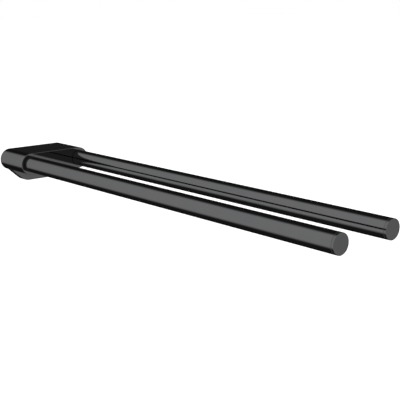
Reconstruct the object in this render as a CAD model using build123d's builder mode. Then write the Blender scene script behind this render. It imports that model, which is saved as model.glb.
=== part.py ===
from build123d import *
import os

# Two-arm towel rack. All sizes are in millimetres.
# Frame: the wall is the plane Y = 0, the bars run out of it towards -Y, +X runs to the
# right along the wall and +Z is up. The origin is midway between the two bar axes.

# ---- overall sizes -----------------------------------------------------------
projection = 440.0          # wall to the tips of the bars
bar_spacing = 56.0          # between the two bar axes
bar_d = 16.0                # outside of each bar
bar_wall = 1.5              # wall of the bar tube

# ---- bracket casting ---------------------------------------------------------
bracket_h = 21.5            # height of the obround block
bracket_depth = 43.5        # wall to its flat front face
bracket_wall = 2.5          # shell of the block
bracket_front = 8.0         # thick front that the bars bolt to
edge_break = 0.4            # chamfer on the casting's outer edges

belly_depth = 9.0           # how far the lower wall flange stands out
belly_drop = 23.4           # bar axis to the bottom of the flange
belly_top_w = 61.0          # width where it leaves the block's underside
belly_bottom_w = 32.6       # width of the bottom, corner to corner, before rounding
belly_round = 12.5          # rounding of its two bottom corners
belly_face = 1.8            # thickness of its front face

# ---- hidden wall plate and its clamping screw --------------------------------
plate_t = 3.0               # steel plate against the wall
plate_gap = 0.4             # play between plate and casting
wall_hole_d = 5.5           # holes for the two wall screws
wall_hole_pitch = 36.0      # between them
hook_w = 40.0               # upper tongue that the casting hangs on
hook_t = 1.6                # thickness of the tongue
hook_rise = 1.0             # how far it stands into the groove
hook_gap = 0.2              # play of the tongue in the groove

clamp_d = 4.0               # grub screw under the flange
clamp_depth = 3.5           # its axis, from the wall
clamp_recess = 0.5          # how far its end is sunk in the flange
clamp_key = 2.0             # hexagon socket across flats
clamp_boss_w = 10.0         # solid boss that its thread is cut in
clamp_boss_h = 6.7          # height of the boss above the flange's bottom
clamp_free = 2.0            # free length of screw between boss and lip
lip_w = 12.0                # lip of the wall plate that the screw presses on
lip_t = 3.0                 # height of the lip
lip_reach = 2.3             # how far it stands out of the plate
thread_gap = 0.05           # play around a screw in its thread

# ---- fixing of each bar ------------------------------------------------------
seat_recess = 1.5           # shallow seat in the casting's front, which centres the bar
seat_play = 0.3             # radial play of the bar in its seat
seat_t = 0.5                # bedding ring between bar and casting
insert_l = 24.0             # threaded insert inside the root of the bar
insert_gap = 0.05           # bonding gap around it
bolt_d = 6.0                # socket screw from behind
bolt_l = 25.0               # its length under the head
bolt_head_d = 10.0          # head
bolt_head_h = 6.0           # head
bolt_key = 5.0              # hexagon socket across flats
bolt_play = 0.25            # radial play in the casting
thread_spare = 2.0          # thread depth left beyond the tip of the screw
washer_d = 12.0             # flat washer
washer_t = 1.6              # flat washer
spring_d = 11.0             # spring washer
spring_t = 1.6              # spring washer
spring_slit = 1.2           # its open slit
pin_d = 1.5                 # locating pin that stops the bar turning
pin_l = 6.0                 # its length, half of it in the casting
pin_gap = 0.05              # play around it

# ---- tips of the bars --------------------------------------------------------
cap_t = 2.0                 # visible disc of the end cap
cap_seam = 0.15             # fine joint line between disc and tube
cap_break = 0.5             # chamfer on the disc's edge
cap_plug_l = 9.0            # cap's plug inside the tube
cap_plug_gap = 0.15         # play around the plug
ring_section = 1.4          # rubber ring in the plug's groove
ring_at = 4.5               # groove's middle, from the disc

bar_r = bar_d / 2
bore_r = bar_r - bar_wall
pocket_depth = bracket_depth - bracket_front
belly_pocket = belly_depth - belly_face
block_half_h = bracket_h / 2
pocket_h = bracket_h - 2 * bracket_wall
seat_floor = bracket_depth - seat_recess
root_depth = seat_floor + seat_t
pin_off = (bolt_d / 2 + bore_r - insert_gap) / 2
tube_end = projection - cap_t - cap_seam
head_depth = pocket_depth - washer_t - spring_t
bars = {"left": -bar_spacing / 2, "right": bar_spacing / 2}

os.makedirs("parts", exist_ok=True)


def across(x, depth):
    """A plane square to a bar at its axis, at this depth from the wall, facing the tip."""
    return Plane(origin=(x, -depth, 0), x_dir=(1, 0, 0), z_dir=(0, -1, 0))


def flange_outline(inset):
    """Lower wall flange as seen from the front, drawn inside itself by the inset."""
    top = belly_top_w / 2
    bottom = belly_bottom_w / 2
    with BuildSketch(Plane.XZ, mode=Mode.PRIVATE) as outline:
        with BuildLine():
            Polyline(
                (-top, 0),
                (-top, -block_half_h),
                (-bottom, -belly_drop),
                (bottom, -belly_drop),
                (top, -block_half_h),
                (top, 0),
                close=True,
            )
        make_face()
        corners = outline.vertices().group_by(Axis.Y)[0]
        fillet(corners, belly_round)
        if inset > 0:
            offset(amount=-inset)
    return outline.sketch


# ---- bracket casting ---------------------------------------------------------
boss_top = -belly_drop + clamp_boss_h
groove_low = plate_t - hook_t - hook_gap
groove_high = plate_t + hook_gap

with BuildPart() as bracket_body:
    with BuildSketch(Plane.XZ):
        SlotCenterToCenter(bar_spacing, bracket_h)
    extrude(amount=bracket_depth)
    front_rim = bracket_body.faces().sort_by(Axis.Y)[0].outer_wire().edges()
    chamfer(front_rim, edge_break)
    extrude(flange_outline(0), amount=belly_depth)
    # pocket of the block, open at the wall
    with BuildSketch(Plane.XZ):
        SlotCenterToCenter(bar_spacing, pocket_h)
    extrude(amount=pocket_depth, mode=Mode.SUBTRACT)
    # pocket of the flange, with the boss for the clamping screw left standing
    extrude(flange_outline(bracket_wall), amount=belly_pocket, mode=Mode.SUBTRACT)
    with BuildSketch(Plane.XZ):
        with Locations((0, -belly_drop + bracket_wall / 2)):
            Rectangle(clamp_boss_w, clamp_boss_h - bracket_wall / 2, align=(Align.CENTER, Align.MIN))
    extrude(amount=belly_depth - belly_face / 2)
    with BuildSketch(Plane.XY.offset(-belly_drop - 1)):
        with Locations((0, -clamp_depth)):
            Circle(clamp_d / 2 + thread_gap)
    extrude(amount=clamp_boss_h + 2, mode=Mode.SUBTRACT)
    # groove in the ceiling for the wall plate's tongue
    with BuildSketch(Plane.XZ.offset(groove_low)):
        with Locations((0, pocket_h / 2 - 1)):
            Rectangle(hook_w + 2 * hook_gap, 1 + hook_rise + hook_gap - plate_gap, align=(Align.CENTER, Align.MIN))
    extrude(amount=groove_high - groove_low, mode=Mode.SUBTRACT)
    # screw hole, seat and pin hole of each bar
    for x in bars.values():
        with BuildSketch(across(x, pocket_depth)):
            Circle(bolt_d / 2 + bolt_play)
        extrude(amount=bracket_front, mode=Mode.SUBTRACT)
        with BuildSketch(across(x, seat_floor)):
            Circle(bar_r + seat_play)
        extrude(amount=seat_recess, mode=Mode.SUBTRACT)
        with BuildSketch(across(x, seat_floor - pin_l / 2)):
            with Locations((0, pin_off)):
                Circle(pin_d / 2 + pin_gap)
        extrude(amount=pin_l / 2, mode=Mode.SUBTRACT)
bracket_body.part.label = "bracket_body"
export_step(bracket_body.part, "parts/bracket_body.step")

# ---- hidden wall plate -------------------------------------------------------
plate_h = pocket_h - 2 * plate_gap
lip_low = boss_top + clamp_free

with BuildPart() as wall_plate:
    with BuildSketch(Plane.XZ):
        SlotCenterToCenter(bar_spacing, plate_h)
        add(flange_outline(bracket_wall + plate_gap))
        # notch around the clamping screw and its boss
        with Locations((0, -belly_drop)):
            Rectangle(
                clamp_boss_w + 2 * plate_gap,
                clamp_boss_h + clamp_free,
                align=(Align.CENTER, Align.MIN),
                mode=Mode.SUBTRACT,
            )
        with GridLocations(wall_hole_pitch, 0, 2, 1):
            Circle(wall_hole_d / 2, mode=Mode.SUBTRACT)
    extrude(amount=plate_t)
    with BuildSketch(Plane.XZ.offset(plate_t - hook_t)):
        with Locations((0, plate_h / 2 - 1)):
            Rectangle(hook_w, 1 + hook_rise, align=(Align.CENTER, Align.MIN))
    extrude(amount=hook_t)
    with BuildSketch(Plane.XZ.offset(plate_t)):
        with Locations((0, lip_low)):
            Rectangle(lip_w, lip_t, align=(Align.CENTER, Align.MIN))
    extrude(amount=lip_reach)
wall_plate.part.label = "wall_plate"
export_step(wall_plate.part, "parts/wall_plate.step")

# ---- grub screw that clamps the casting to the wall plate --------------------
clamp_low = -belly_drop + clamp_recess
clamp_l = lip_low - clamp_low

with BuildPart() as clamp_screw:
    with BuildSketch(Plane.XY.offset(clamp_low)):
        with Locations((0, -clamp_depth)):
            Circle(clamp_d / 2)
    extrude(amount=clamp_l)
    chamfer(clamp_screw.edges().group_by(Axis.Z)[-1], clamp_d / 8)
    with BuildSketch(Plane.XY.offset(clamp_low)):
        with Locations((0, -clamp_depth)):
            RegularPolygon(clamp_key / 2, 6, major_radius=False)
    extrude(amount=clamp_key, mode=Mode.SUBTRACT)
clamp_screw.part.label = "clamp_screw"
export_step(clamp_screw.part, "parts/clamp_screw.step")

# ---- bar tubes ---------------------------------------------------------------
for side, x in bars.items():
    with BuildPart() as bar_tube:
        with BuildSketch(across(x, root_depth)):
            Circle(bar_r)
            Circle(bore_r, mode=Mode.SUBTRACT)
        extrude(amount=tube_end - root_depth)
    bar_tube.part.label = f"bar_tube_{side}"
    export_step(bar_tube.part, f"parts/bar_tube_{side}.step")

# ---- bedding rings under the roots of the bars -------------------------------
for side, x in bars.items():
    with BuildPart() as seat_ring:
        with BuildSketch(across(x, seat_floor)):
            Circle(bar_r)
            Circle(bolt_d / 2 + bolt_play, mode=Mode.SUBTRACT)
            with Locations((0, pin_off)):
                Circle(pin_d / 2 + pin_gap, mode=Mode.SUBTRACT)
        extrude(amount=seat_t)
    seat_ring.part.label = f"seat_ring_{side}"
    export_step(seat_ring.part, f"parts/seat_ring_{side}.step")

# ---- threaded inserts in the roots -------------------------------------------
bolt_tip = head_depth + bolt_l

for side, x in bars.items():
    with BuildPart() as root_insert:
        with BuildSketch(across(x, root_depth)):
            Circle(bore_r - insert_gap)
        extrude(amount=insert_l)
        with BuildSketch(across(x, root_depth)):
            Circle(bolt_d / 2 + thread_gap)
        extrude(amount=bolt_tip + thread_spare - root_depth, mode=Mode.SUBTRACT)
        with BuildSketch(across(x, root_depth)):
            with Locations((0, pin_off)):
                Circle(pin_d / 2 + pin_gap)
        extrude(amount=pin_l / 2, mode=Mode.SUBTRACT)
    root_insert.part.label = f"root_insert_{side}"
    export_step(root_insert.part, f"parts/root_insert_{side}.step")

# ---- socket screws from behind -----------------------------------------------
for side, x in bars.items():
    with BuildPart() as bar_screw:
        with BuildSketch(across(x, head_depth - bolt_head_h)):
            Circle(bolt_head_d / 2)
        extrude(amount=bolt_head_h)
        chamfer(bar_screw.edges().sort_by(Axis.Y)[-1], edge_break)
        with BuildSketch(across(x, head_depth)):
            Circle(bolt_d / 2)
        extrude(amount=bolt_l)
        chamfer(bar_screw.edges().sort_by(Axis.Y)[0], bolt_d / 10)
        with BuildSketch(across(x, head_depth - bolt_head_h)):
            RegularPolygon(bolt_key / 2, 6, major_radius=False)
        extrude(amount=bolt_head_h / 2, mode=Mode.SUBTRACT)
    bar_screw.part.label = f"bar_screw_{side}"
    export_step(bar_screw.part, f"parts/bar_screw_{side}.step")

# ---- flat washers and spring washers under the screw heads --------------------
for side, x in bars.items():
    with BuildPart() as flat_washer:
        with BuildSketch(across(x, pocket_depth - washer_t)):
            Circle(washer_d / 2)
            Circle(bolt_d / 2 + bolt_play, mode=Mode.SUBTRACT)
        extrude(amount=washer_t)
    flat_washer.part.label = f"flat_washer_{side}"
    export_step(flat_washer.part, f"parts/flat_washer_{side}.step")

    with BuildPart() as spring_washer:
        with BuildSketch(across(x, head_depth)):
            Circle(spring_d / 2)
            Circle(bolt_d / 2 + bolt_play, mode=Mode.SUBTRACT)
            with Locations((0, spring_d / 2)):
                Rectangle(spring_slit, spring_d, mode=Mode.SUBTRACT)
        extrude(amount=spring_t)
    spring_washer.part.label = f"spring_washer_{side}"
    export_step(spring_washer.part, f"parts/spring_washer_{side}.step")

# ---- locating pins -----------------------------------------------------------
for side, x in bars.items():
    with BuildPart() as locating_pin:
        with BuildSketch(across(x, seat_floor - pin_l / 2)):
            with Locations((0, pin_off)):
                Circle(pin_d / 2)
        extrude(amount=pin_l)
    locating_pin.part.label = f"locating_pin_{side}"
    export_step(locating_pin.part, f"parts/locating_pin_{side}.step")

# ---- end caps and their rubber rings -------------------------------------------
plug_r = bore_r - cap_plug_gap
groove_r = bore_r - insert_gap - ring_section
ring_depth = projection - cap_t - ring_at

for side, x in bars.items():
    with BuildPart() as end_cap:
        with BuildSketch(across(x, projection - cap_t)):
            Circle(bar_r)
        extrude(amount=cap_t)
        chamfer(end_cap.edges().sort_by(Axis.Y)[0], cap_break)
        with BuildSketch(across(x, projection - cap_t)):
            Circle(plug_r)
        extrude(amount=-cap_plug_l)
        with BuildSketch(across(x, ring_depth - ring_section / 2)):
            Circle(bar_r)
            Circle(groove_r, mode=Mode.SUBTRACT)
        extrude(amount=ring_section, mode=Mode.SUBTRACT)
    end_cap.part.label = f"end_cap_{side}"
    export_step(end_cap.part, f"parts/end_cap_{side}.step")

    with BuildPart() as cap_ring:
        with BuildSketch(Plane.XY):
            with Locations((x + groove_r + ring_section / 2, -ring_depth)):
                Circle(ring_section / 2)
        revolve(axis=Axis((x, 0, 0), (0, 1, 0)), revolution_arc=360)
    cap_ring.part.label = f"cap_ring_{side}"
    export_step(cap_ring.part, f"parts/cap_ring_{side}.step")
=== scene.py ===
# %% [markdown]
# # A two-arm towel rack in black chrome
# This notebook dresses a finished engineering model of a towel rack: two round bars, side by
# side, that reach out from one wall bracket. The engineering model is loaded as a fixed frame
# of named parts. Each part that the eye can reach gets a cleaner mesh or a better finish here,
# and nothing is moved or resized.

# %% Load the frame
import math

import bmesh
import bpy
from mathutils import Matrix, Vector


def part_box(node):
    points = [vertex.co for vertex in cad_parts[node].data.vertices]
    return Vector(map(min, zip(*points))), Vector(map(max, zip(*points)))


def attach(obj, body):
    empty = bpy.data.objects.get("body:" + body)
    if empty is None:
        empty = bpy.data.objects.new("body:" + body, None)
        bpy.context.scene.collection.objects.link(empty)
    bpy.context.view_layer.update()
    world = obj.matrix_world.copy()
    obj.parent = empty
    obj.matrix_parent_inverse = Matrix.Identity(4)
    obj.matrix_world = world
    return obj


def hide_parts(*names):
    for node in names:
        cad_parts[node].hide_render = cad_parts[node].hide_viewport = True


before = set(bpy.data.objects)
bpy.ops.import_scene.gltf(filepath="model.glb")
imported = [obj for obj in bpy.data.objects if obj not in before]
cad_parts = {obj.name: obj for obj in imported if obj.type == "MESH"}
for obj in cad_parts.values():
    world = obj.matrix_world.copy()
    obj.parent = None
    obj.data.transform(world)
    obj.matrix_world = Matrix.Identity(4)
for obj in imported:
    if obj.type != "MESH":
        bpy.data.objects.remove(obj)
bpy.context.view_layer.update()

# %% [markdown]
# ## Sizes
# Blender works in metres, and the small sizes of this object are easier to read in
# millimetres, so one constant turns them. Where a size belongs to the engineering model it is
# read from the boxes of its parts, so that a new model is dressed without a change here.

# %% Sizes read from the frame
MM = 0.001
TUBE_WALL = 1.5 * MM
SCREW_HOLE_R = 3.25 * MM
# points closer than this are one point
WELD = 0.002 * MM
sides = ("left", "right")


def middle(node):
    low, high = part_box(node)
    return (low + high) / 2


tube_low, tube_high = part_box("bar_tube_left")
block_low, block_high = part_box("bracket_body")
bar_x = {side: middle(f"bar_tube_{side}").x for side in sides}
bar_r = (tube_high.x - tube_low.x) / 2
bore_r = bar_r - TUBE_WALL
half_pitch = bar_x["right"]
block_r = block_high.z
block_depth = -block_low.y
flange_bottom = block_low.z
print("bar diameter", round(bar_r * 2000, 2), "mm, bar pitch", round(half_pitch * 2000, 2), "mm")

# %% [markdown]
# ## Camera
# A product picture of a long thin object is taken from near one end, a little above it, with
# a longish lens, so that the bars run away into depth without looking stretched. The camera is
# built from the point it looks at, two angles, a slight tilt and a distance.

# %% Camera
aim = Vector((-0.01015, -0.27855, 0.0))
azimuth = math.radians(-41.102)
elevation = math.radians(12.876)
tilt = math.radians(-0.389)
distance = 0.69144
lens_mm = 76.89

back = Vector(
    (
        math.sin(azimuth) * math.cos(elevation),
        -math.cos(azimuth) * math.cos(elevation),
        math.sin(elevation),
    )
)
level = Vector((math.cos(azimuth), math.sin(azimuth), 0.0))
above = back.cross(level)
camera_right = level * math.cos(tilt) + above * math.sin(tilt)
camera_up = above * math.cos(tilt) - level * math.sin(tilt)
turn = Matrix((camera_right, camera_up, back)).transposed()

lens = bpy.data.cameras.new("camera")
lens.lens = lens_mm
lens.sensor_width = 36.0
lens.clip_start = 0.01
lens.clip_end = 200.0
camera = bpy.data.objects.new("camera", lens)
camera.matrix_world = Matrix.Translation(aim + back * distance) @ turn.to_4x4()
bpy.context.scene.collection.objects.link(camera)
bpy.context.scene.camera = camera
bpy.context.scene.view_settings.view_transform = "Standard"
print("camera at", [round(v, 3) for v in camera.location])

# %% [markdown]
# ## Colours and nodes
# Colours are written as the hex values that a paint chart or a screen shows. Renderers add
# light in linear values, so one function turns a hex value to linear. A second small function
# adds a shader or geometry node with its settings and its inputs, where an input is either a
# plain value or the output that feeds it.


# %% Colour and node helpers
def linear(hex_colour):
    """An sRGB hex colour as linear red, green, blue and an alpha of 1."""
    parts = [int(hex_colour[i : i + 2], 16) / 255 for i in (1, 3, 5)]
    parts = [c / 12.92 if c <= 0.04045 else ((c + 0.055) / 1.055) ** 2.4 for c in parts]
    return (*parts, 1.0)


def add_node(tree, kind, inputs=None, **settings):
    """Adds a node, sets its settings, and fills each named or numbered input."""
    node = tree.nodes.new(kind)
    for name, value in settings.items():
        setattr(node, name, value)
    for key, value in (inputs or {}).items():
        if isinstance(value, bpy.types.NodeSocket):
            tree.links.new(value, node.inputs[key])
        else:
            node.inputs[key].default_value = value
    return node


# %% [markdown]
# ## Light
# Polished metal has no colour of its own to speak of: it shows what stands around it. The
# studio is a soft dome. Behind the rack it holds one wide pale bank, from a little below level
# on the left to overhead, with dark cloth elsewhere, so a round bar shows a broad pale band
# between two dark edges. In front of the rack the dome is one even grey.

# %% A soft dome with one pale bank
# Angles are in degrees around the bars' axis: 0 is level on the left, 90 is overhead.
DARK_CLOTH = 0.05
FRONT_GREY = 0.65
BANK_FROM = -30
BANK_TO = 75
SOFT_EDGE = 30
BANK = (
    (BANK_FROM - SOFT_EDGE, DARK_CLOTH),
    (BANK_FROM, 1.0),
    (BANK_TO, 1.0),
    (BANK_TO + SOFT_EDGE, DARK_CLOTH),
)

world = bpy.data.worlds.new("studio dome")
world.use_nodes = True
bpy.context.scene.world = world
dome = world.node_tree
dome.nodes.clear()
heading = add_node(dome, "ShaderNodeTexCoord").outputs["Generated"]
split = add_node(dome, "ShaderNodeSeparateXYZ", {0: heading}).outputs
leftward = add_node(dome, "ShaderNodeMath", {0: split["X"], 1: -1.0}, operation="MULTIPLY").outputs[0]
angle = add_node(dome, "ShaderNodeMath", {0: split["Z"], 1: leftward}, operation="ARCTAN2").outputs[0]
share = add_node(
    dome, "ShaderNodeMath", {0: angle, 1: 0.5 / math.pi, 2: 0.5}, operation="MULTIPLY_ADD"
).outputs[0]
bank = add_node(dome, "ShaderNodeValToRGB", {"Fac": share})
bank.color_ramp.interpolation = "EASE"
stops = bank.color_ramp.elements
while len(stops) < len(BANK):
    stops.new(0.5)
for i, (degrees, level) in enumerate(BANK):
    stops[i].position = degrees / 360 + 0.5
    stops[i].color = (level, level, level, 1.0)
ahead = add_node(
    dome,
    "ShaderNodeMapRange",
    {"Value": split["Y"], "From Min": 0.25, "From Max": -0.25, "To Min": 0.0, "To Max": 1.0},
    interpolation_type="SMOOTHSTEP",
).outputs["Result"]
front = (FRONT_GREY, FRONT_GREY, FRONT_GREY, 1.0)
dome_light = add_node(
    dome, "ShaderNodeMix", {0: ahead, 6: bank.outputs["Color"], 7: front}, data_type="RGBA"
).outputs[2]
lit = add_node(dome, "ShaderNodeBackground", {"Color": dome_light, "Strength": 1.0}).outputs[0]
plain = add_node(dome, "ShaderNodeBackground", {"Color": (1, 1, 1, 1), "Strength": 1.0}).outputs[0]
# the camera sees a plain white room behind the rack
seen_by_camera = add_node(dome, "ShaderNodeLightPath").outputs["Is Camera Ray"]
which = add_node(dome, "ShaderNodeMixShader", {0: seen_by_camera, 1: lit, 2: plain}).outputs[0]
add_node(dome, "ShaderNodeOutputWorld", {"Surface": which})
print("pale bank from", BANK_FROM, "to", BANK_TO, "degrees, soft over", SOFT_EDGE)

# %% [markdown]
# ## Floor
# The rack hangs on a wall, so the floor is far below it: a wide pale sheet that only fills the
# picture. It is kept out of mirror reflections, because the dome already stands for all that
# the metal sees. A broad soft lamp overhead whitens it, and is kept out of them too.

# %% Floor and lamp
FLOOR_DROP = 0.9
FLOOR_HALF = 60.0
floor_mesh = bpy.data.meshes.new("floor")
corners = [(x, y, -FLOOR_DROP) for x, y in ((-1, -1), (1, -1), (1, 1), (-1, 1))]
floor_mesh.from_pydata([(x * FLOOR_HALF, y * FLOOR_HALF, z) for x, y, z in corners], [], [(0, 1, 2, 3)])
floor = bpy.data.objects.new("floor", floor_mesh)
bpy.context.scene.collection.objects.link(floor)
floor.visible_glossy = False
floor_paint = bpy.data.materials.new("matt white floor paint")
floor_paint.use_nodes = True
floor_surface = floor_paint.node_tree.nodes["Principled BSDF"]
floor_surface.inputs["Base Color"].default_value = linear("#F4F4F4")
floor_surface.inputs["Roughness"].default_value = 0.9
floor_mesh.materials.append(floor_paint)

lamp_data = bpy.data.lights.new("overhead lamp", "SUN")
lamp_data.energy = 2.6
lamp_data.angle = math.radians(120)
lamp = bpy.data.objects.new("overhead lamp", lamp_data)
lamp.location = (0, 0, 3)
lamp.visible_glossy = False
bpy.context.scene.collection.objects.link(lamp)
print("floor", FLOOR_DROP, "m below the bars")

# %% [markdown]
# ## Finishes
# Eight finishes cover the rack. Each one starts from what the real surface is, and its pattern
# is sized from a real length in millimetres. A pattern that is too fine for a picture of the
# whole object is drawn a little coarser, and the comment says so.


# %% One function for every finish
# handling and cleaning leave cloudy patches about this wide
CLOUD_MM = 15


def finish_of(
    name, colour, colour_2, metallic, rough, rough_2, grain_mm, depth_um, stretch=(1, 1, 1), rim="#FFFFFF"
):
    """A finish whose colour, gloss and height vary with a noise of the given grain.

    stretch divides the noise along X, Y and Z, so that a value under 1 draws it out.
    """
    material = bpy.data.materials.new(name)
    material.use_nodes = True
    tree = material.node_tree
    surface = tree.nodes["Principled BSDF"]
    surface.inputs["Metallic"].default_value = metallic
    surface.inputs["Specular Tint"].default_value = linear(rim)
    place = add_node(tree, "ShaderNodeTexCoord").outputs["Object"]
    drawn = add_node(tree, "ShaderNodeMapping", {"Vector": place, "Scale": stretch}).outputs[0]
    grain = add_node(
        tree, "ShaderNodeTexNoise", {"Vector": drawn, "Scale": 1 / (grain_mm * MM), "Detail": 3.0}
    ).outputs["Fac"]
    cloud = add_node(
        tree, "ShaderNodeTexNoise", {"Vector": place, "Scale": 1 / (CLOUD_MM * MM), "Detail": 2.0}
    ).outputs["Fac"]
    tone = add_node(
        tree,
        "ShaderNodeMix",
        {0: cloud, 6: linear(colour), 7: linear(colour_2)},
        data_type="RGBA",
    ).outputs[2]
    patchy = add_node(
        tree, "ShaderNodeMath", {0: cloud, 1: 0.6, 2: -0.3}, operation="MULTIPLY_ADD"
    ).outputs[0]
    mixed = add_node(tree, "ShaderNodeMath", {0: grain, 1: patchy}, operation="ADD").outputs[0]
    gloss = add_node(
        tree,
        "ShaderNodeMapRange",
        {"Value": mixed, "From Min": 0.2, "From Max": 0.8, "To Min": rough, "To Max": rough_2},
    ).outputs["Result"]
    relief = add_node(
        tree, "ShaderNodeBump", {"Height": grain, "Strength": 1.0, "Distance": depth_um * 1e-6}
    ).outputs["Normal"]
    tree.links.new(tone, surface.inputs["Base Color"])
    tree.links.new(gloss, surface.inputs["Roughness"])
    tree.links.new(relief, surface.inputs["Normal"])
    return material


# %% The finishes
# the dark film over black chrome keeps its glancing edges from flashing white
DARK_RIM = "#BCBCBC"
# black chrome on drawn brass tube: mirror-like, faintly drawn out along the bar
tube_chrome = finish_of(
    "black chrome on drawn tube", "#646566", "#69696A", 1.0, 0.10, 0.15, 1.2, 0.03, (1, 0.08, 1), DARK_RIM
)
# black chrome on a polished casting: the same coating over a slightly rolling surface
cast_chrome = finish_of(
    "black chrome on polished casting", "#646566", "#69696A", 1.0, 0.03, 0.06, 3.0, 0.15, rim=DARK_RIM
)
# the tips are turned flat before plating, so they are a touch less glossy
cap_chrome = finish_of(
    "black chrome on turned cap", "#646566", "#69696A", 1.0, 0.12, 0.18, 0.8, 0.10, rim=DARK_RIM
)
# stamped stainless sheet with a rolled grain along its length
plate_steel = finish_of(
    "rolled stainless sheet", "#88898B", "#98999B", 0.75, 0.34, 0.46, 0.5, 1.5, (0.05, 1, 1)
)
# bright zinc on steel screws
screw_zinc = finish_of("bright zinc plate", "#A9ADB4", "#B9BCC2", 1.0, 0.22, 0.38, 0.6, 1.0)
# turned brass inserts
insert_brass = finish_of("turned brass", "#B08D4F", "#BE9B5C", 1.0, 0.2, 0.35, 0.5, 1.0, (1, 6, 1))
# black nylon bedding rings: dull, with the fine spark-eroded texture of the mould
ring_nylon = finish_of("moulded black nylon", "#0C0C0D", "#141415", 0.0, 0.45, 0.6, 0.3, 4.0)
# nitrile rubber rings
ring_rubber = finish_of("nitrile rubber", "#0E0E0E", "#171716", 0.0, 0.6, 0.8, 0.4, 4.0)
print("finishes:", [m.name for m in bpy.data.materials if m.name != floor_paint.name])

# %% [markdown]
# ## Finishing a piece
# Every new mesh goes through the same last steps. Its sharp edges are marked, its normals are
# weighted by face area so that the big faces stay flat right up to their rounded edges, it
# rides on the rack's only body, and the engineering part it stands for is hidden.


# %% Piece helpers
def piece_from(shape, name, material, node, sharp_deg=35):
    """Turns a finished bmesh into a shown piece that stands for an engineering part."""
    bmesh.ops.remove_doubles(shape, verts=shape.verts, dist=WELD)
    bmesh.ops.recalc_face_normals(shape, faces=shape.faces)
    mesh = bpy.data.meshes.new(name)
    shape.to_mesh(mesh)
    shape.free()
    return dress(mesh, name, material, node, sharp_deg)


def dress(mesh, name, material, node, sharp_deg=35):
    """Gives a mesh its shading, finish and body, and lets it stand for its part."""
    mesh.shade_smooth()
    mesh.set_sharp_from_angle(angle=math.radians(sharp_deg))
    mesh.materials.clear()
    mesh.materials.append(material)
    piece = bpy.data.objects.new(name, mesh)
    bpy.context.scene.collection.objects.link(piece)
    weigh = piece.modifiers.new("big faces first", "WEIGHTED_NORMAL")
    weigh.keep_sharp = True
    weigh.weight = 100
    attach(piece, "root")
    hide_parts(node)
    print(f"{name}: {len(mesh.polygons)} faces")
    return piece


# %% [markdown]
# ## The bars
# A bar is drawn tube, cut to length, with its ends broken by a file so that they don't cut a
# hand. The rule is simple: a rectangle as long as the bar and as thick as its wall, with
# rounded corners, carried once around a circle. Geometry Nodes can say just that, so a tree
# with named sizes makes both bars, and the result is turned into a plain mesh.

# %% Geometry tree for a drawn tube
tube_tree = bpy.data.node_groups.new("drawn tube", "GeometryNodeTree")
for name, kind in (
    ("Outside Radius", "NodeSocketFloat"),
    ("Bore Radius", "NodeSocketFloat"),
    ("Length", "NodeSocketFloat"),
    ("Edge Radius", "NodeSocketFloat"),
    ("Middle", "NodeSocketVector"),
    ("Steps Around", "NodeSocketInt"),
    ("Finish", "NodeSocketMaterial"),
):
    tube_tree.interface.new_socket(name, in_out="INPUT", socket_type=kind)
tube_tree.interface.new_socket("Tube", in_out="OUTPUT", socket_type="NodeSocketGeometry")
given = add_node(tube_tree, "NodeGroupInput").outputs
wall = add_node(
    tube_tree, "ShaderNodeMath", {0: given["Outside Radius"], 1: given["Bore Radius"]}, operation="SUBTRACT"
).outputs[0]
both = add_node(
    tube_tree, "ShaderNodeMath", {0: given["Outside Radius"], 1: given["Bore Radius"]}, operation="ADD"
).outputs[0]
mean = add_node(tube_tree, "ShaderNodeMath", {0: both, 1: 0.5}, operation="MULTIPLY").outputs[0]
around = add_node(
    tube_tree, "GeometryNodeCurvePrimitiveCircle", {"Resolution": given["Steps Around"], "Radius": mean}
).outputs["Curve"]
slab = add_node(
    tube_tree, "GeometryNodeCurvePrimitiveQuadrilateral", {"Width": wall, "Height": given["Length"]}
).outputs["Curve"]
eased = add_node(
    tube_tree,
    "GeometryNodeFilletCurve",
    {"Curve": slab, "Count": 5, "Radius": given["Edge Radius"]},
    mode="POLY",
).outputs["Curve"]
skin = add_node(
    tube_tree, "GeometryNodeCurveToMesh", {"Curve": around, "Profile Curve": eased}
).outputs["Mesh"]
laid = add_node(
    tube_tree,
    "GeometryNodeTransform",
    {"Geometry": skin, "Translation": given["Middle"], "Rotation": (math.pi / 2, 0.0, 0.0)},
).outputs["Geometry"]
real = add_node(tube_tree, "GeometryNodeRealizeInstances", {"Geometry": laid}).outputs["Geometry"]
coated = add_node(
    tube_tree, "GeometryNodeSetMaterial", {"Geometry": real, "Material": given["Finish"]}
).outputs["Geometry"]
add_node(tube_tree, "NodeGroupOutput", {"Tube": coated})


# %% Run a tree and keep the plain mesh
def grown(tree, name, sizes):
    """Runs a geometry tree with these named sizes and returns its plain mesh."""
    seed = bpy.data.objects.new(name + ".seed", bpy.data.meshes.new(name + ".seed"))
    bpy.context.scene.collection.objects.link(seed)
    grow = seed.modifiers.new("grow", "NODES")
    grow.node_group = tree
    sockets = {s.name: s.identifier for s in tree.interface.items_tree if s.in_out == "INPUT"}
    for key, value in sizes.items():
        grow[sockets[key]] = value
    seen = seed.evaluated_get(bpy.context.evaluated_depsgraph_get())
    mesh = bpy.data.meshes.new_from_object(seen)
    mesh.name = name
    seed.modifiers.clear()
    bpy.data.objects.remove(seed)
    return mesh


# %% Both bars
TUBE_EDGE = 0.25 * MM
TUBE_STEPS = 128
for side in sides:
    low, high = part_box(f"bar_tube_{side}")
    tube_mesh = grown(
        tube_tree,
        f"bar_{side}",
        {
            "Outside Radius": bar_r,
            "Bore Radius": bore_r,
            "Length": high.y - low.y,
            "Edge Radius": TUBE_EDGE,
            "Middle": (low + high) / 2,
            "Steps Around": TUBE_STEPS,
            "Finish": tube_chrome,
        },
    )
    dress(tube_mesh, f"bar_{side}", tube_chrome, f"bar_tube_{side}")

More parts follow.
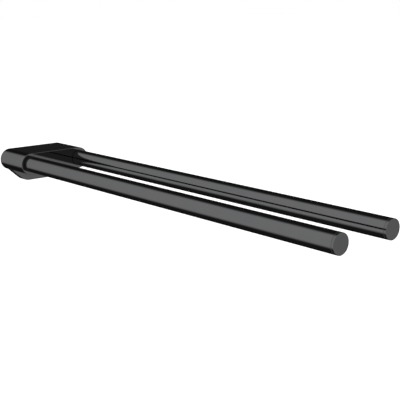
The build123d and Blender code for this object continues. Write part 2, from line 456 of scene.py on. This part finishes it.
# %% [markdown]
# ## Turned pieces
# End caps and rings come off a lathe. A lathe part is one outline, drawn as radius against
# depth, carried around the bar's axis, so one short function makes them all.


# %% Lathe
def turned(outline, x, steps=96):
    """A closed outline of (radius, y) points carried around the axis at x."""
    shape = bmesh.new()
    rows = []
    for i in range(steps):
        angle = 2 * math.pi * i / steps
        rows.append(
            [
                shape.verts.new((x + radius * math.cos(angle), y, radius * math.sin(angle)))
                for radius, y in outline
            ]
        )
    for row, following in zip(rows, rows[1:] + rows[:1]):
        for j in range(len(outline)):
            k = (j + 1) % len(outline)
            shape.faces.new((row[j], row[k], following[k], following[j]))
    return shape


def rounded(corner_radius, corner_y, size, start_deg, sweep_deg=90, steps=5):
    """Points of a rounded corner whose arc is centred at (corner_radius, corner_y)."""
    angles = [math.radians(start_deg + sweep_deg * i / steps) for i in range(steps + 1)]
    return [(corner_radius + size * math.cos(a), corner_y + size * math.sin(a)) for a in angles]


# %% End caps
# The disc is as wide as the bar, with an eased rim; its plug carries a groove for the ring.
RIM = 0.45 * MM
SEAM = 0.15 * MM
PLUG_PLAY = 0.15 * MM
BACK_EDGE = 0.1 * MM
PLUG_EDGE = 0.4 * MM
ring_low, ring_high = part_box("cap_ring_left")
ring_section = ring_high.y - ring_low.y
groove_r = (ring_high.x - ring_low.x) / 2 - ring_section
for side in sides:
    low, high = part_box(f"end_cap_{side}")
    disc_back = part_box(f"bar_tube_{side}")[0].y - SEAM
    plug_r = bore_r - PLUG_PLAY
    outline = [(0.0, low.y)]
    outline += rounded(bar_r - RIM, low.y + RIM, RIM, -90)
    outline += rounded(bar_r - BACK_EDGE, disc_back - BACK_EDGE, BACK_EDGE, 0, steps=2)
    outline += [(plug_r, disc_back), (plug_r, ring_low.y), (groove_r, ring_low.y)]
    outline += [(groove_r, ring_high.y), (plug_r, ring_high.y)]
    outline += rounded(plug_r - PLUG_EDGE, high.y - PLUG_EDGE, PLUG_EDGE, 0, steps=3)
    outline += [(0.0, high.y)]
    shape = turned(outline, bar_x[side])
    piece_from(shape, f"cap_{side}", cap_chrome, f"end_cap_{side}")

# %% Bedding rings
RING_EDGE = 0.1 * MM
for side in sides:
    low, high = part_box(f"seat_ring_{side}")
    outer = (high.x - low.x) / 2
    outline = [(SCREW_HOLE_R, low.y)]
    outline += rounded(outer - RING_EDGE, low.y + RING_EDGE, RING_EDGE, -90, steps=2)
    outline += rounded(outer - RING_EDGE, high.y - RING_EDGE, RING_EDGE, 0, steps=2)
    outline += [(SCREW_HOLE_R, high.y)]
    shape = turned(outline, bar_x[side])
    piece_from(shape, f"bedding_ring_{side}", ring_nylon, f"seat_ring_{side}")

# %% [markdown]
# ## The bracket
# The bracket is a hollow zinc casting: an obround block with a shallow flange below it at the
# wall. Its skin is a stack of outlines with the same number of points, so that neighbours join
# with clean quads: the flange's outline at the wall, the block's outline further out, and the
# same two again, smaller, for the pocket inside. Extra outlines close to an edge round it.

# %% Outlines of the bracket
FLANGE_DEPTH = 9.0 * MM
FLANGE_TOP_HALF = 30.5 * MM
FLANGE_BOTTOM_HALF = 16.3 * MM
FLANGE_ROUND = 12.5 * MM
SHELL = 2.5 * MM
ARC_STEPS = 28
LOW_STEPS = 44


def flange_edge(x, inset):
    """Height of the flange's lower edge at x, with its outline drawn in by the inset."""
    bottom = flange_bottom + inset
    slope = (flange_bottom + block_r) / (FLANGE_BOTTOM_HALF - FLANGE_TOP_HALF)
    lean = math.atan(slope)
    # the slanted side, moved in square to itself
    side_z = -block_r - slope * (FLANGE_TOP_HALF - abs(x)) + inset / math.cos(lean)
    radius = FLANGE_ROUND - inset
    corner = FLANGE_BOTTOM_HALF - inset * math.tan(lean / 2)
    reach = radius * math.tan(lean / 2)
    arc_x = corner - reach
    if abs(x) <= arc_x:
        return bottom
    if abs(x) < arc_x + radius * math.sin(lean):
        return bottom + radius - math.sqrt(radius**2 - (abs(x) - arc_x) ** 2)
    return side_z


def block_edge(x, inset):
    """Height of the block's lower edge at x."""
    radius = block_r - inset
    over = max(0.0, abs(x) - half_pitch)
    return -math.sqrt(max(0.0, radius**2 - over**2))


def junction(inset):
    """Where the flange's slanted side meets the block's underside."""
    low, high = half_pitch - 2 * MM, half_pitch + block_r - inset
    for _ in range(60):
        x = (low + high) / 2
        if flange_edge(x, inset) < block_edge(x, inset):
            low = x
        else:
            high = x
    return low


def outline_at(y, inset, flange, low_inset=None):
    """One outline at depth y. The upper part follows the block, the lower part may follow the flange."""
    low_inset = inset if low_inset is None else low_inset
    radius = block_r - inset
    join = junction(inset)
    start = math.atan2(block_edge(join, inset), join - half_pitch)
    points = []
    for i in range(ARC_STEPS + 1):
        angle = start + (math.pi / 2 - start) * i / ARC_STEPS
        points.append((half_pitch + radius * math.cos(angle), y, radius * math.sin(angle)))
    points += [(-px, y, pz) for px, _, pz in reversed(points)]
    for i in range(1, LOW_STEPS):
        x = -join + 2 * join * i / LOW_STEPS
        z = flange_edge(x, low_inset) if flange else block_edge(x, low_inset)
        points.append((x, y, min(z, block_edge(x, inset)) if flange else z))
    return points


# %% Bracket skin
EDGE = 0.4 * MM
WALL_EDGE = 0.15 * MM
ROUND_STEPS = 8
SOLID_FRONT = 8.0 * MM
FLANGE_FACE = 1.8 * MM
POCKET_DEPTH = block_depth - SOLID_FRONT
FLANGE_POCKET = FLANGE_DEPTH - FLANGE_FACE
stack = [outline_at(0.0, WALL_EDGE, True), outline_at(-WALL_EDGE, 0.0, True)]
for i in range(ROUND_STEPS + 1):
    angle = math.pi / 2 * i / ROUND_STEPS
    inset = EDGE * (1 - math.cos(angle))
    stack.append(outline_at(-FLANGE_DEPTH + EDGE * (1 - math.sin(angle)), 0.0, True, inset))
stack.append(outline_at(-FLANGE_DEPTH, 0.0, False))
for i in range(ROUND_STEPS + 1):
    angle = math.pi / 2 * i / ROUND_STEPS
    inset = EDGE * (1 - math.cos(angle))
    stack.append(outline_at(-block_depth + EDGE * (1 - math.sin(angle)), inset, False))
inner = [
    outline_at(0.0, SHELL, True),
    outline_at(-FLANGE_POCKET, SHELL, True),
    outline_at(-FLANGE_POCKET, SHELL, False),
    outline_at(-POCKET_DEPTH, SHELL, False),
]
shape = bmesh.new()
loops = [[shape.verts.new(p) for p in ring] for ring in reversed(inner)]
loops += [[shape.verts.new(p) for p in ring] for ring in stack]
for ring, following in zip(loops, loops[1:]):
    for j in range(len(ring)):
        k = (j + 1) % len(ring)
        if (ring[j].co - following[j].co).length + (ring[k].co - following[k].co).length > 1e-7:
            shape.faces.new((ring[j], ring[k], following[k], following[j]))
shape.faces.new(loops[0])
shape.faces.new(loops[-1])
bmesh.ops.remove_doubles(shape, verts=shape.verts, dist=WELD)
bmesh.ops.recalc_face_normals(shape, faces=shape.faces)
print("bracket skin closed:", all(len(e.link_faces) == 2 for e in shape.edges))

# %% Seats and holes
# Round tools are sunk into the casting where the drill and the milling cutter go.


def rod(x, y, z, radius, length, axis, steps=64):
    """A closed round bar as a cutting tool, from this point along an axis."""
    tool = bmesh.new()
    across = {"Y": Matrix.Rotation(math.pi / 2, 4, "X"), "Z": Matrix.Identity(4)}[axis]
    along = {"Y": Vector((0, -length / 2, 0)), "Z": Vector((0, 0, length / 2))}[axis]
    bmesh.ops.create_cone(
        tool,
        cap_ends=True,
        segments=steps,
        radius1=radius,
        radius2=radius,
        depth=length,
        matrix=Matrix.Translation(Vector((x, y, z)) + along) @ across,
    )
    return tool


def worked(base, tools):
    """Applies each (tool, operation) to the base shape with the exact solver."""
    mesh = bpy.data.meshes.new("work")
    base.to_mesh(mesh)
    base.free()
    work = bpy.data.objects.new("work", mesh)
    bpy.context.scene.collection.objects.link(work)
    helpers = []
    for tool, operation in tools:
        tool_mesh = bpy.data.meshes.new("tool")
        tool.to_mesh(tool_mesh)
        tool.free()
        helper = bpy.data.objects.new("tool", tool_mesh)
        bpy.context.scene.collection.objects.link(helper)
        cut = work.modifiers.new("cut", "BOOLEAN")
        cut.solver = "EXACT"
        cut.operation = operation
        cut.object = helper
        helpers.append(helper)
    seen = work.evaluated_get(bpy.context.evaluated_depsgraph_get())
    result = bmesh.new()
    result.from_mesh(bpy.data.meshes.new_from_object(seen))
    for helper in helpers + [work]:
        bpy.data.objects.remove(helper)
    return result


def bar_of_metal(low, high):
    """A closed box from its lowest to its highest corner."""
    box = bmesh.new()
    bmesh.ops.create_cube(box, size=1.0)
    for v in box.verts:
        v.co = Vector(
            (
                low[0] if v.co.x < 0 else high[0],
                low[1] if v.co.y < 0 else high[1],
                low[2] if v.co.z < 0 else high[2],
            )
        )
    return box


seat_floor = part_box("seat_ring_left")[1].y
SHADOW_GAP = 0.3 * MM
SEAT_R = bar_r + SHADOW_GAP
CLAMP_HOLE_R = 2.05 * MM
clamp_y = middle("clamp_screw").y
BOSS_HALF = 5.0 * MM
BOSS_TOP = flange_bottom + 6.7 * MM
tools = [
    (
        bar_of_metal(
            (-BOSS_HALF, -FLANGE_DEPTH + 0.9 * MM, flange_bottom + 1.2 * MM), (BOSS_HALF, 0.0, BOSS_TOP)
        ),
        "UNION",
    ),
    (
        rod(0.0, clamp_y, flange_bottom - MM, CLAMP_HOLE_R, BOSS_TOP - flange_bottom + 2 * MM, "Z", 32),
        "DIFFERENCE",
    ),
]
for side in sides:
    tools.append((rod(bar_x[side], seat_floor, 0.0, SEAT_R, 3 * MM, "Y", 96), "DIFFERENCE"))
    tools.append((rod(bar_x[side], -POCKET_DEPTH + MM, 0.0, SCREW_HOLE_R, 9 * MM, "Y", 32), "DIFFERENCE"))
shape = worked(shape, tools)
piece_from(shape, "bracket_casting", cast_chrome, "bracket_body", 20)

# %% [markdown]
# ## Hidden parts
# The wall plate shows from behind, and the clamping screw from below. The rest is sealed in,
# and keeps the engineering mesh with its own finish.


# %% Merge a part's loose triangles into a smooth copy
def smooth_copy(node, name, material):
    """A merged copy of an engineering part, so that its round faces shade as round."""
    shape = bmesh.new()
    shape.from_mesh(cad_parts[node].data)
    return piece_from(shape, name, material, node, 25)


smooth_copy("wall_plate", "hidden_wall_plate", plate_steel)
smooth_copy("clamp_screw", "grub_screw", screw_zinc)
for side in sides:
    smooth_copy(f"root_insert_{side}", f"threaded_insert_{side}", insert_brass)
    smooth_copy(f"bar_screw_{side}", f"socket_screw_{side}", screw_zinc)
    smooth_copy(f"flat_washer_{side}", f"washer_{side}", screw_zinc)
    smooth_copy(f"spring_washer_{side}", f"lock_washer_{side}", screw_zinc)
    smooth_copy(f"locating_pin_{side}", f"dowel_{side}", screw_zinc)
    smooth_copy(f"cap_ring_{side}", f"rubber_ring_{side}", ring_rubber)
